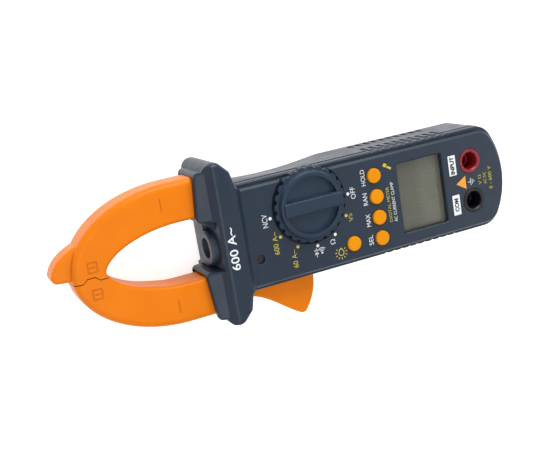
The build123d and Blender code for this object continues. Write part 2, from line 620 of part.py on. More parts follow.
# bobbins and windings on the straight limbs
for side, name in ((1, "fixed_jaw"), (-1, "moving_jaw")):
    mid = side * COIL_X
    tube = slab(mid - BOBBIN_HALF, mid + BOBBIN_HALF, *COIL_Y, CORE_LOW - 1.0, CORE_HIGH + 1.0)
    with BuildPart() as bobbin:
        add(tube)
        for y in (COIL_Y[0], COIL_Y[1] - 0.8):
            add(slab(mid - 6.4, mid + 6.4, y, y + 0.8, JAW_REAR_Z + 2.2, JAW_FRONT_Z - 2.2))
        add(slab(mid - 4.3, mid + 4.3, COIL_Y[0] - 1, COIL_Y[1] + 1, CORE_LOW, CORE_HIGH), mode=Mode.SUBTRACT)
    save(bobbin, f"{name}_bobbin")
    with BuildPart() as winding:
        add(slab(mid - 6.2, mid + 6.2, COIL_Y[0] + 0.8, COIL_Y[1] - 0.8, JAW_REAR_Z + 2.4, JAW_FRONT_Z - 2.4,
                 1.0))
        add(tube, mode=Mode.SUBTRACT)
    save(winding, f"{name}_winding")

with BuildPart() as jaw_pivot_pin:
    add(posts([PIVOT], PIN_R, 4.6, THICK - 1.8))
    ends = jaw_pivot_pin.edges().group_by(Axis.Z)
    chamfer(ends[0] + ends[-1], length=0.4)
save(jaw_pivot_pin, "jaw_pivot_pin")

# return spring: two turns round the rear post of the pin, with a fixed and a driving leg
with BuildPart() as jaw_return_spring:
    with BuildLine(mode=Mode.PRIVATE) as coil:
        Helix(pitch=1.4, height=2.8, radius=SPRING_R, center=(PIVOT[0], PIVOT[1], 5.6))
    with BuildSketch(Plane(origin=coil.line @ 0, z_dir=coil.line % 0), mode=Mode.PRIVATE) as wire:
        Circle(WIRE_R)
    sweep(wire.sketch, path=coil.line)
    x, y, z = PIVOT[0] + SPRING_R, PIVOT[1], 5.6
    add(slab(x - WIRE_R, x + WIRE_R, y - 7.0, y, z - WIRE_R, z + WIRE_R))
    add(slab(x - WIRE_R, x + WIRE_R, y - 9.0, y, z + 2.8 - WIRE_R, z + 2.8 + WIRE_R))
save(jaw_return_spring, "jaw_return_spring")

# ---------------------------------------------------------------- torch
with BuildPart() as torch_nozzle:
    with BuildPart(mode=Mode.PRIVATE) as boss:
        with BuildSketch(FRONT_VIEW.offset(-46.5)):
            with Locations(NOZZLE):
                Circle(NOZZLE_R)
        extrude(amount=9.0)
        chamfer(boss.edges().sort_by(Axis.Y)[-1], length=0.8)
    with BuildSketch(FRONT_VIEW.offset(-46.0)):
        with Locations((0, 12.5)):
            Rectangle(2 * (SLEEVE_INNER - 0.4), 11.0)
    extrude(amount=8.5)
    add(boss.part)
    for radius, y0, y1 in ((4.7, 42.0, 48.0), (3.0, 36.0, 43.0)):
        with BuildSketch(FRONT_VIEW.offset(-y1)):
            with Locations(NOZZLE):
                Circle(radius)
        extrude(amount=y1 - y0, mode=Mode.SUBTRACT)
save(torch_nozzle, "torch_nozzle")

with BuildPart() as torch_lens:
    with BuildSketch(FRONT_VIEW.offset(-44.0)):
        with Locations(NOZZLE):
            Circle(4.6)
    extrude(amount=1.2)
save(torch_lens, "torch_lens")

with BuildPart() as torch_led:
    with BuildSketch(FRONT_VIEW.offset(-40.5)):
        with Locations(NOZZLE):
            Circle(2.5)
    extrude(amount=3.6)
    fillet(torch_led.edges().sort_by(Axis.Y)[-1], radius=2.0)
    with BuildSketch(FRONT_VIEW.offset(-37.4)):
        with Locations(NOZZLE):
            Circle(2.9)
    extrude(amount=1.0)
save(torch_led, "torch_led")

# ---------------------------------------------------------------- rotary switch
KNOB_RIM_Z = KNOB_Z + 2.6
KNOB_RING_Z = KNOB_Z + 4.7
KNOB_BAR_Z = KNOB_Z + 5.6
POCKET_R = 12.9
BAR_HALF = 3.3

with BuildPart() as rotary_knob:
    with BuildSketch(Plane.XZ):
        with BuildLine():
            Polyline((0, KNOB_Z), (KNOB_R, KNOB_Z), (KNOB_R, KNOB_RIM_Z - 0.5), (KNOB_R - 0.5, KNOB_RIM_Z),
                     (KNOB_R - 1.6, KNOB_RIM_Z), (KNOB_R - 2.2, KNOB_RING_Z - 0.7))
            RadiusArc((KNOB_R - 2.2, KNOB_RING_Z - 0.7), (KNOB_R - 3.2, KNOB_RING_Z), -1.1)
            Polyline((KNOB_R - 3.2, KNOB_RING_Z), (0, KNOB_RING_Z), (0, KNOB_Z))
        make_face()
    revolve(axis=Axis.Z)
    # grip notches round the rim
    with BuildSketch(Plane.XY.offset(KNOB_Z - 1)):
        with PolarLocations(KNOB_R + 0.35, 24):
            RectangleRounded(2.6, 2.3, 1.1)
    extrude(amount=KNOB_RIM_Z - KNOB_Z + 1.5, mode=Mode.SUBTRACT)
    # two half-moon pockets with the pointer bar left between them
    with BuildSketch(Plane.XY.offset(KNOB_Z + 2.6)):
        Circle(POCKET_R)
        Rectangle(2 * BAR_HALF, 40, mode=Mode.SUBTRACT)
    extrude(amount=10, mode=Mode.SUBTRACT)
    with BuildSketch(Plane.XY.offset(KNOB_RING_Z - 0.5)):
        with BuildLine():
            Polyline((-BAR_HALF, 13.6), (-BAR_HALF + 0.3, -14.6), (BAR_HALF - 0.3, -14.6),
                     (BAR_HALF, 13.6), close=True)
        make_face()
    extrude(amount=KNOB_BAR_Z - KNOB_RING_Z + 0.5)
    fillet(rotary_knob.faces().sort_by(Axis.Z)[-1].edges(), radius=0.8)
    # stem through the cover, and the pocket of the detent ball
    with BuildSketch(Plane.XY.offset(BOARD_TOP + 0.6)):
        Circle(STEM_R)
    extrude(amount=KNOB_Z - BOARD_TOP - 0.6)
    with BuildSketch(Plane.XY.offset(KNOB_Z)):
        with Locations((0, -DETENT_R)):
            Circle(1.5)
    extrude(amount=2.2, mode=Mode.SUBTRACT)
rotary_knob.part = rotary_knob.part.moved(Location((DIAL[0], DIAL[1], 0)))
save(rotary_knob, "rotary_knob")

detent_spot = (DIAL[0], DIAL[1] - DETENT_R)
with BuildPart() as knob_detent_ball:
    with Locations((*detent_spot, KNOB_Z - 0.25 + BALL_R)):
        Sphere(BALL_R)
save(knob_detent_ball, "knob_detent_ball")

with BuildPart() as knob_detent_spring:
    add(posts([detent_spot], 1.4, KNOB_Z + 1.8, KNOB_Z + 2.15))
    add(posts([detent_spot], 0.5, KNOB_Z, KNOB_Z + 3.0), mode=Mode.SUBTRACT)
save(knob_detent_spring, "knob_detent_spring")

with BuildPart() as switch_rotor:
    add(posts([DIAL], 11.0, BOARD_TOP + 0.9, BOARD_TOP + 3.2))
    with Locations(Plane(origin=(DIAL[0], DIAL[1], BOARD_TOP + 0.9))):
        with PolarLocations(8.0, 3):
            Cylinder(1.6, 2.0, mode=Mode.SUBTRACT)
    add(posts([DIAL], STEM_R, 0, 40), mode=Mode.SUBTRACT)
save(switch_rotor, "switch_rotor")

with BuildPart() as switch_wipers:
    with Locations(Plane(origin=(DIAL[0], DIAL[1], BOARD_TOP + 0.9))):
        with PolarLocations(6.3, 3, start_angle=30):
            Box(3.6, 1.4, 0.3, align=(Align.CENTER, Align.CENTER, Align.MAX))
        with PolarLocations(9.2, 3, start_angle=30):
            Box(1.2, 1.4, 0.8, align=(Align.CENTER, Align.CENTER, Align.MAX))
        with PolarLocations(8.0, 3, start_angle=30):
            Box(2.0, 1.4, 0.3, align=(Align.CENTER, Align.CENTER, Align.MAX))
save(switch_wipers, "switch_wipers")

# ---------------------------------------------------------------- push buttons
BUTTON_FOOT_Z = BOARD_TOP + 2.0
for name, (x, y) in BUTTONS.items():
    with BuildPart() as button:
        add(posts([(x, y)], BUTTON_R, BUTTON_FOOT_Z + 1.2, BUTTON_TOP))
        fillet(button.edges().group_by(Axis.Z)[-1], radius=0.7)
        add(posts([(x, y)], BUTTON_R + 0.9, BUTTON_FOOT_Z + 0.6, THICK - 2.5))
        add(posts([(x, y)], 1.4, BUTTON_FOOT_Z, BUTTON_FOOT_Z + 0.6))
    save(button, name)

with BuildPart() as tactile_switches:
    for x, y in BUTTONS.values():
        add(slab(x - 2.2, x + 2.2, y - 2.2, y + 2.2, BOARD_TOP, BOARD_TOP + 0.7, 0.4))
        add(posts([(x, y)], 1.1, BOARD_TOP + 0.7, BUTTON_FOOT_Z - BUTTON_TRAVEL - 0.1))
save(tactile_switches, "tactile_switches")

# ---------------------------------------------------------------- display
half_w = LCD_W / 2
half_h = LCD_H / 2
GLASS_TOP = THICK - 2.4
GLASS_LOW = GLASS_TOP - 2.8


def lcd_slab(grow_x, grow_y, low, high, corner=0.0):
    """A block centred on the display window and larger than it by the given amounts all round."""
    return slab(-half_w - grow_x, half_w + grow_x, LCD_Y - half_h - grow_y, LCD_Y + half_h + grow_y,
                low, high, corner)


with BuildPart() as lcd_window:
    add(lcd_slab(1.6, 1.4, GLASS_TOP - 0.9, GLASS_TOP, 1.0))
    add(lcd_slab(-0.15, -0.15, GLASS_TOP, GLASS_TOP + 0.8, 0.7))
save(lcd_window, "lcd_window")

with BuildPart() as lcd_panel:
    add(lcd_slab(0.4, 0.4, GLASS_LOW, GLASS_TOP - 1.0))
save(lcd_panel, "lcd_panel")

with BuildPart() as lcd_backlight:
    add(lcd_slab(-0.5, -2.4, BOARD_TOP, GLASS_LOW))
save(lcd_backlight, "lcd_backlight")

with BuildPart() as zebra_strips:
    for y in (LCD_Y - half_h + 1.0, LCD_Y + half_h - 1.0):
        add(slab(-half_w + 1, half_w - 1, y - 0.9, y + 0.9, BOARD_TOP, GLASS_LOW))
save(zebra_strips, "zebra_strips")

with BuildPart() as lcd_frame:
    add(lcd_slab(1.5, 1.5, BOARD_TOP, GLASS_TOP - 1.0, 0.8))
    add(lcd_slab(0.4, 0.4, 0, 40), mode=Mode.SUBTRACT)
save(lcd_frame, "lcd_frame")

# ---------------------------------------------------------------- circuit board
with BuildPart() as main_board:
    add(slab(-19.6, 19.6, -95.0, 24.8, BOARD_Z, BOARD_TOP, 6.0))
    add(posts(CASE_SCREWS, 4.0, 0, 40), mode=Mode.SUBTRACT)
    add(posts(SOCKETS, JACK_R + 0.2, 0, 40), mode=Mode.SUBTRACT)
    add(posts(BOARD_SCREWS, 1.0, 0, 40), mode=Mode.SUBTRACT)
save(main_board, "main_board")

with BuildPart() as board_chips:
    chips = ((0, -57, 12, 12, 1.5), (-9, -12, 8, 5, 1.4), (11, -18, 5, 4, 1.2), (9, 14, 6, 4, 1.2))
    for x, y, wide, deep, high in chips:
        add(slab(x - wide / 2, x + wide / 2, y - deep / 2, y + deep / 2, BOARD_Z - high, BOARD_Z))
save(board_chips, "board_chips")

with BuildPart() as board_capacitors:
    add(posts([(-8.0, -21.0), (0.5, -14.0)], 2.5, BOARD_Z - 6.5, BOARD_Z))
    add(posts([(4.0, 3.0), (15.5, 8.0), (-6.5, 6.0)], 1.4, BOARD_Z - 2.4, BOARD_Z))
save(board_capacitors, "board_capacitors")

with BuildPart() as input_fuse_resistor:
    with Locations(Plane(origin=(0, -79.0, BOARD_Z - 2.6), x_dir=(0, 1, 0), z_dir=(1, 0, 0))):
        Cylinder(2.2, 9.0)
    add(slab(-5.6, -4.5, -79.4, -78.6, BOARD_Z - 2.9, BOARD_Z))
    add(slab(4.5, 5.6, -79.4, -78.6, BOARD_Z - 2.9, BOARD_Z))
save(input_fuse_resistor, "input_fuse_resistor")

with BuildPart() as buzzer:
    add(posts([(10.5, -3.0)], 6.0, BOARD_Z - 5.5, BOARD_Z))
    add(posts([(10.5, -3.0)], 1.0, BOARD_Z - 7, BOARD_Z - 4.5), mode=Mode.SUBTRACT)
save(buzzer, "buzzer")

with BuildPart() as ncv_led:
    add(posts([NCV], 1.5, BOARD_TOP - 1.6, BOARD_TOP + 2.0))
    fillet(ncv_led.edges().group_by(Axis.Z)[-1], radius=1.0)
save(ncv_led, "ncv_led")

with BuildPart() as ncv_lens:
    add(posts([NCV], NCV_R - 0.05, THICK - 2.4, THICK - 1.2))
    add(posts([NCV], NCV_R + 0.7, THICK - 3.0, THICK - 2.4))
save(ncv_lens, "ncv_lens")

# ---------------------------------------------------------------- input sockets
SOCKET_TOP = THICK - 6.0    # mouth of the inner post
SOCKET_LOW = 12.0
SHROUD_R = 4.0
POST_R = 2.9
TUBE_R = 2.4
for name, spot in zip(("input_jack_red", "common_jack_black"), SOCKETS):
    with BuildPart() as jack:
        add(posts([spot], JACK_R, SOCKET_LOW - 1.4, THICK + 0.35))
        fillet(jack.edges().group_by(Axis.Z)[-1], radius=0.3)
        add(posts([spot], SHROUD_R, SOCKET_LOW + 2, THICK + 1), mode=Mode.SUBTRACT)
        chamfer(jack.edges().group_by(Axis.Z)[-1].sort_by(SortBy.RADIUS)[0], length=0.5)
        add(posts([spot], POST_R, SOCKET_LOW - 1.4, SOCKET_TOP))
        add(posts([spot], TUBE_R, SOCKET_LOW, SOCKET_TOP - 0.8), mode=Mode.SUBTRACT)
        add(posts([spot], SOCKET_R, SOCKET_LOW, THICK), mode=Mode.SUBTRACT)
    save(jack, name)

with BuildPart() as socket_tubes:
    add(posts(SOCKETS, TUBE_R, SOCKET_LOW, SOCKET_TOP - 0.8))
    add(posts(SOCKETS, SOCKET_R, SOCKET_LOW + 0.8, THICK), mode=Mode.SUBTRACT)
save(socket_tubes, "socket_tubes")

# ---------------------------------------------------------------- battery
bay_mid = (BAY_Y[0] + BAY_Y[1]) / 2
for name, x, turn in (("battery_left", -CELL_X, 1), ("battery_right", CELL_X, -1)):
    with BuildPart() as cell:
        with Locations(Plane(origin=(x, bay_mid, CELL_Z), x_dir=(1, 0, 0), z_dir=(0, turn, 0))):
            Cylinder(CELL_R, CELL_L - 0.8)
        fillet(cell.edges().filter_by(GeomType.CIRCLE), radius=0.5)
        cell_end = (x, bay_mid + turn * CELL_L / 2, CELL_Z)
        with Locations(Plane(origin=cell_end, x_dir=(1, 0, 0), z_dir=(0, turn, 0))):
            Cylinder(1.9, 1.2, align=(Align.CENTER, Align.CENTER, Align.MAX))
    save(cell, name)

with BuildPart() as battery_springs:
    for x, end, turn in ((-CELL_X, BAY_Y[0], 1), (CELL_X, BAY_Y[1], -1)):
        for i in range(4):
            y = end + turn * (0.75 + 0.5 * i)
            with Locations(Plane(origin=(x, y, CELL_Z), x_dir=(1, 0, 0), z_dir=(0, 1, 0))):
                Cylinder(3.4 - 0.4 * i, 0.5)
                Cylinder(2.4 - 0.4 * i, 0.5, mode=Mode.SUBTRACT)
save(battery_springs, "battery_springs")

with BuildPart() as battery_contacts:
    for y in (BAY_Y[0] + 0.25, BAY_Y[1] - 0.25):
        add(slab(-CELL_X - 4.5, CELL_X + 4.5, y - 0.24, y + 0.24, CELL_Z - 4.5, CELL_Z + 4.5))
save(battery_contacts, "battery_contacts")
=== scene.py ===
import json
import math

import bmesh
import bpy
from mathutils import Euler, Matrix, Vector


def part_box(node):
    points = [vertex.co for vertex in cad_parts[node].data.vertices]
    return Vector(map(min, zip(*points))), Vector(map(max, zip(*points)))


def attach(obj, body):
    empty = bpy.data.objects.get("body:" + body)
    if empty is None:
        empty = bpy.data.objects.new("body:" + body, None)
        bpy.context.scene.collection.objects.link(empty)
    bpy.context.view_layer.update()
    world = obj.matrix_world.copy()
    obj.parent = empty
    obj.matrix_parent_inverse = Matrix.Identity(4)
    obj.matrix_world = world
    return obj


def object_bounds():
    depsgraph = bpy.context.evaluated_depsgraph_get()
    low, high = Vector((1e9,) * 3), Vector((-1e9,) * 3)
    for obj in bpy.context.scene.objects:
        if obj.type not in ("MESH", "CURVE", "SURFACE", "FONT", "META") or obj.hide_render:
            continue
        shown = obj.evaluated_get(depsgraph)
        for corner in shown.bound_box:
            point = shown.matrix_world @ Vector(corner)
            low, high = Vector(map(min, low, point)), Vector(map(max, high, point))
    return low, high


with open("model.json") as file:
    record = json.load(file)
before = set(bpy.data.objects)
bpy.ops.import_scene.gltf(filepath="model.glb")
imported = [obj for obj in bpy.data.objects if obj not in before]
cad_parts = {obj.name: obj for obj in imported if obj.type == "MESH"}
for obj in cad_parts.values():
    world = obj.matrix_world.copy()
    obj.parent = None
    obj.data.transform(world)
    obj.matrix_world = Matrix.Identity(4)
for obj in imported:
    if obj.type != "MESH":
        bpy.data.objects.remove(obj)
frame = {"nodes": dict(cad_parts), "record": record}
CAD_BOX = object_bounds()
NODES = frame["nodes"]

MM = 0.001
PRINT_LIFT = 0.02 * MM          # printing stands this far off its surface
PRINT_THICK = 0.04 * MM

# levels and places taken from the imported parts, in metres
FACE_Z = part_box("button_hold")[1][2] - 1.3 * MM
COLLAR_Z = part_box("front_cover")[1][2]
JAW_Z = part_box("moving_jaw_front_shell")[1][2]
KNOB_LOW, KNOB_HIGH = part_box("rotary_knob")
DIAL_X = (KNOB_LOW[0] + KNOB_HIGH[0]) / 2
DIAL_Y = (KNOB_LOW[1] + KNOB_HIGH[1]) / 2
DIAL_DOT_R = 19.5 * MM
DIAL_STEP = 29.0                # degrees between two positions

# middles of the printed signs on the face, in millimetres
SOUND_AT = (-14.5, -2.7)
LAMP_AT = (-17.0, -12.0)
EARTH_AT = (-0.4, -84.4)
PLATE_Y = -75.3


# ---------------------------------------------------------------- small helpers
def node_tree(name):
    """A new node material and its shader."""
    material = bpy.data.materials.new(name)
    material.use_nodes = True
    return material, material.node_tree, material.node_tree.nodes["Principled BSDF"]


def noise(tree, scale, detail=3.0, rough=0.5):
    """Noise on object coordinates; scale is in features per metre."""
    where = tree.nodes.new("ShaderNodeTexCoord")
    texture = tree.nodes.new("ShaderNodeTexNoise")
    texture.inputs["Scale"].default_value = scale
    texture.inputs["Detail"].default_value = detail
    texture.inputs["Roughness"].default_value = rough
    tree.links.new(where.outputs["Object"], texture.inputs["Vector"])
    return texture


def spread(tree, source, low, high, start=0.3, stop=0.7):
    """Maps a 0 to 1 signal between two values."""
    node = tree.nodes.new("ShaderNodeMapRange")
    node.inputs["From Min"].default_value = start
    node.inputs["From Max"].default_value = stop
    node.inputs["To Min"].default_value = low
    node.inputs["To Max"].default_value = high
    tree.links.new(source, node.inputs["Value"])
    return node.outputs["Result"]


def mix_colours(tree, factor, first, second):
    """Blends two colours, each a plain colour or a socket, by a signal."""
    node = tree.nodes.new("ShaderNodeMix")
    node.data_type = "RGBA"
    tree.links.new(factor, node.inputs["Factor"])
    for socket, value in ((node.inputs["A"], first), (node.inputs["B"], second)):
        if isinstance(value, bpy.types.NodeSocket):
            tree.links.new(value, socket)
        else:
            socket.default_value = (*value, 1.0)
    return node.outputs["Result"]


def edge_mask(tree, width):
    """1 on edges and corners, 0 on flat stretches."""
    bevel = tree.nodes.new("ShaderNodeBevel")
    bevel.samples = 4
    bevel.inputs["Radius"].default_value = width
    geometry = tree.nodes.new("ShaderNodeNewGeometry")
    dot = tree.nodes.new("ShaderNodeVectorMath")
    dot.operation = "DOT_PRODUCT"
    tree.links.new(bevel.outputs["Normal"], dot.inputs[0])
    tree.links.new(geometry.outputs["Normal"], dot.inputs[1])
    return spread(tree, dot.outputs["Value"], 1.0, 0.0, 0.75, 0.97)


def moulded(name, colour, rough, grain=9000.0, depth=0.02, mottle=0.10, wear_and_highlight=0.0, spec=0.5, soften=0.3):
    """Moulded plastic: fine eroded grain, slight colour and gloss variation, soft edges, paler in patches
    along the edges, partly from scuffing and partly as painted highlight.
    """
    material, tree, shader = node_tree(name)
    dark = tuple(c * (1 - mottle) for c in colour)
    light = tuple(min(c * (1 + mottle), 1.0) for c in colour)
    clouds = noise(tree, 55.0, 4.0)
    base = mix_colours(tree, spread(tree, clouds.outputs["Fac"], 0.0, 1.0), dark, light)
    # paler patches on edges and corners: partly scuffing, partly painted highlight on the rounded edges
    if wear_and_highlight:
        scuff_and_highlight_patches = noise(tree, 700.0, 5.0, 0.7)
        worn_and_lit_edges = tree.nodes.new("ShaderNodeMath")
        worn_and_lit_edges.operation = "MULTIPLY"
        tree.links.new(edge_mask(tree, 0.5 * MM), worn_and_lit_edges.inputs[0])
        tree.links.new(spread(tree, scuff_and_highlight_patches.outputs["Fac"], 0.0, wear_and_highlight, 0.4, 0.75), worn_and_lit_edges.inputs[1])
        pale = tuple(min(c * 1.9 + 0.05, 1.0) for c in colour)
        base = mix_colours(tree, worn_and_lit_edges.outputs["Value"], base, pale)
    tree.links.new(base, shader.inputs["Base Color"])
    smears = noise(tree, 180.0, 5.0, 0.6)
    gloss = spread(tree, smears.outputs["Fac"], rough * 0.86, rough * 1.14)
    tree.links.new(gloss, shader.inputs["Roughness"])
    grain_map = noise(tree, grain, 2.0)
    bump = tree.nodes.new("ShaderNodeBump")
    bump.inputs["Strength"].default_value = 0.5
    bump.inputs["Distance"].default_value = depth * MM
    tree.links.new(grain_map.outputs["Fac"], bump.inputs["Height"])
    soft_edge = tree.nodes.new("ShaderNodeBevel")
    soft_edge.samples = 4
    soft_edge.inputs["Radius"].default_value = soften * MM
    tree.links.new(soft_edge.outputs["Normal"], bump.inputs["Normal"])
    tree.links.new(bump.outputs["Normal"], shader.inputs["Normal"])
    shader.inputs["Specular IOR Level"].default_value = spec
    return material


def metal(name, colour, rough, scratch=2500.0):
    """Bare metal with fine scratches and a little tarnish."""
    material, tree, shader = node_tree(name)
    tarnish = noise(tree, 300.0, 4.0)
    dull = tuple(c * 0.75 for c in colour)
    base = mix_colours(tree, spread(tree, tarnish.outputs["Fac"], 0.0, 1.0), dull, colour)
    tree.links.new(base, shader.inputs["Base Color"])
    shader.inputs["Metallic"].default_value = 1.0
    marks = noise(tree, scratch, 4.0, 0.7)
    tree.links.new(spread(tree, marks.outputs["Fac"], rough * 0.7, rough * 1.4), shader.inputs["Roughness"])
    bump = tree.nodes.new("ShaderNodeBump")
    bump.inputs["Distance"].default_value = 0.01 * MM
    tree.links.new(marks.outputs["Fac"], bump.inputs["Height"])
    tree.links.new(bump.outputs["Normal"], shader.inputs["Normal"])
    return material


def ink(name, colour):
    """Screen-printed ink: slightly uneven in tone, matt, with pinholes in its relief."""
    return moulded(name, colour, 0.55, grain=14000.0, depth=0.01, mottle=0.05, spec=0.3)


def clear(name, tint, alpha, rough):
    """Clear plastic that lets shadows through, with faint haze and smears."""
    material, tree, shader = node_tree(name)
    haze = noise(tree, 120.0, 4.0)
    paler = tuple(min(c * 1.1, 1.0) for c in tint)
    tree.links.new(mix_colours(tree, haze.outputs["Fac"], tint, paler), shader.inputs["Base Color"])
    smears = noise(tree, 260.0, 6.0, 0.65)
    tree.links.new(spread(tree, smears.outputs["Fac"], rough * 0.7, rough * 1.5), shader.inputs["Roughness"])
    tree.links.new(spread(tree, haze.outputs["Fac"], alpha * 0.9, alpha * 1.1), shader.inputs["Alpha"])
    return material


def linear(red, green, blue):
    """An sRGB colour, 0 to 255, in linear light."""
    def one(value):
        share = value / 255
        return share / 12.92 if share <= 0.04045 else ((share + 0.055) / 1.055) ** 2.4
    return one(red), one(green), one(blue)


def display_material():
    """Reflective LCD: grey-green, with a painted reflection that makes it lighter towards the sockets and
    darker towards the jaws, and faint clouds.
    """
    material, tree, shader = node_tree("lcd_display")
    where = tree.nodes.new("ShaderNodeTexCoord")
    split = tree.nodes.new("ShaderNodeSeparateXYZ")
    tree.links.new(where.outputs["Object"], split.inputs["Vector"])
    low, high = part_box("lcd_panel")
    middle = (low[1] + high[1]) / 2
    # painted reflection: the screen colour steps from lighter at the socket end to darker at the jaw end
    painted_reflection_band = spread(tree, split.outputs["Y"], 0.0, 1.0, middle - 2.5 * MM, middle + 1.5 * MM)
    base = mix_colours(tree, painted_reflection_band, linear(98, 99, 85), linear(88, 89, 77))
    clouds = noise(tree, 90.0, 3.0)
    shade = spread(tree, clouds.outputs["Fac"], 0.0, 0.25)
    base = mix_colours(tree, shade, base, linear(80, 81, 68))
    tree.links.new(base, shader.inputs["Base Color"])
    cells = noise(tree, 160.0, 3.0)
    tree.links.new(spread(tree, cells.outputs["Fac"], 0.32, 0.42), shader.inputs["Roughness"])
    bump = tree.nodes.new("ShaderNodeBump")
    bump.inputs["Strength"].default_value = 0.3
    bump.inputs["Distance"].default_value = 0.01 * MM
    tree.links.new(cells.outputs["Fac"], bump.inputs["Height"])
    tree.links.new(bump.outputs["Normal"], shader.inputs["Normal"])
    return material


def board_material():
    """Green solder mask with the relief of tracks under it."""
    material, tree, shader = node_tree("solder_mask")
    where = tree.nodes.new("ShaderNodeTexCoord")
    tracks = tree.nodes.new("ShaderNodeTexBrick")
    tracks.inputs["Scale"].default_value = 260.0
    tracks.inputs["Mortar Size"].default_value = 0.06
    tracks.inputs["Color1"].default_value = (0.02, 0.15, 0.05, 1)
    tracks.inputs["Color2"].default_value = (0.03, 0.19, 0.07, 1)
    tracks.inputs["Mortar"].default_value = (0.05, 0.28, 0.10, 1)
    tree.links.new(where.outputs["Object"], tracks.inputs["Vector"])
    tree.links.new(tracks.outputs["Color"], shader.inputs["Base Color"])
    smears = noise(tree, 300.0)
    tree.links.new(spread(tree, smears.outputs["Fac"], 0.25, 0.4), shader.inputs["Roughness"])
    bump = tree.nodes.new("ShaderNodeBump")
    bump.inputs["Distance"].default_value = 0.02 * MM
    tree.links.new(tracks.outputs["Fac"], bump.inputs["Height"])
    tree.links.new(bump.outputs["Normal"], shader.inputs["Normal"])
    return material


# ---------------------------------------------------------------- materials
HOUSING = moulded("housing_plastic", linear(24, 37, 51), 0.38, grain=7000.0, depth=0.03,
                  mottle=0.06, wear_and_highlight=0.3, spec=0.28)
KNOB = moulded("knob_plastic", linear(24, 40, 57), 0.42, grain=6000.0, depth=0.03,
               mottle=0.07, wear_and_highlight=0.35, spec=0.26)
ORANGE = moulded("orange_plastic", linear(200, 105, 0), 0.36, grain=5000.0,
                 mottle=0.05, wear_and_highlight=0.15, spec=0.13)
BUTTON = moulded("button_rubber", linear(197, 122, 0), 0.50, grain=8000.0,
                 mottle=0.04, wear_and_highlight=0.1, spec=0.1)
# the nozzle is the housing's plastic; its paler grey-blue colour here is painted light falling on it from the
# front
NOZZLE_WITH_PAINTED_LIGHT = moulded("nozzle_plastic", linear(44, 54, 66), 0.42, grain=7000.0,
                 mottle=0.06, wear_and_highlight=0.3, spec=0.4)
BLACK = moulded("black_plastic", linear(14, 15, 18), 0.35, grain=8000.0,
                mottle=0.15, wear_and_highlight=0.15, spec=0.3)
RED = moulded("red_plastic", linear(116, 16, 24), 0.34, grain=8000.0,
              mottle=0.07, wear_and_highlight=0.2, spec=0.35)
WHITE = moulded("white_plastic", linear(190, 188, 180), 0.45, mottle=0.04)
SILICONE = moulded("silicone", linear(96, 92, 98), 0.6, mottle=0.08)
CELL = moulded("cell_sleeve", linear(52, 66, 84), 0.25, grain=3000.0, depth=0.01, mottle=0.06)
COPPER = moulded("copper_wire", linear(150, 76, 34), 0.35, grain=2200.0, depth=0.12, mottle=0.2)
STEEL = metal("steel", (0.56, 0.56, 0.57), 0.28)
BRASS = metal("brass", (0.55, 0.40, 0.20), 0.3)
CORE = metal("core_steel", (0.22, 0.22, 0.23), 0.4, scratch=900.0)
WINDOW = clear("window_plastic", linear(60, 62, 54), 0.14, 0.10)
LENS = clear("lens_plastic", linear(170, 176, 182), 0.42, 0.12)
SMOKY = clear("smoky_lens", linear(38, 34, 40), 0.85, 0.12)
WHITE_INK = ink("white_ink", linear(206, 209, 212))
YELLOW_INK = ink("yellow_ink", linear(176, 160, 52))
DARK_INK = ink("dark_ink", linear(22, 26, 34))
AMBER_INK = ink("amber_ink", linear(210, 138, 48))

BY_SLOT = {
    "housing": HOUSING, "knob_plastic": KNOB, "orange_plastic": ORANGE, "button_rubber": BUTTON,
    "nozzle_plastic": NOZZLE_WITH_PAINTED_LIGHT, "black_plastic": BLACK, "red_plastic": RED, "white_plastic": WHITE,
    "silicone": SILICONE, "cell_sleeve": CELL, "copper": COPPER, "steel": STEEL, "brass": BRASS,
    "core_steel": CORE, "clear_plastic": LENS, "board": board_material(), "lcd_glass": display_material(),
}

for entry in frame["record"]["subparts"]:
    node = NODES[entry["node"]]
    node.data.materials.clear()
    node.data.materials.append(BY_SLOT[entry["material_slot"]])
NODES["lcd_window"].data.materials[0] = WINDOW
NODES["ncv_lens"].data.materials[0] = SMOKY


# ---------------------------------------------------------------- printed legends
def place(mesh, name, material):
    """Adds a finished printed mesh as a piece of the housing."""
    piece = bpy.data.objects.new(name, mesh)
    bpy.context.scene.collection.objects.link(piece)
    mesh.materials.clear()
    mesh.materials.append(material)
    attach(piece, "housing")


def flat_shapes(name, outlines, level, material):
    """Thin printed shapes, each an outline of (x, y) corners in millimetres."""
    mesh = bpy.data.meshes.new(name)
    shape = bmesh.new()
    for outline in outlines:
        low = [shape.verts.new((x * MM, y * MM, level + PRINT_LIFT)) for x, y in outline]
        high = [shape.verts.new((x * MM, y * MM, level + PRINT_LIFT + PRINT_THICK)) for x, y in outline]
        shape.faces.new(high)
        shape.faces.new(low[::-1])
        count = len(outline)
        for i in range(count):
            j = (i + 1) % count
            shape.faces.new((low[i], low[j], high[j], high[i]))
    bmesh.ops.recalc_face_normals(shape, faces=shape.faces)
    shape.to_mesh(mesh)
    shape.free()
    place(mesh, name, material)


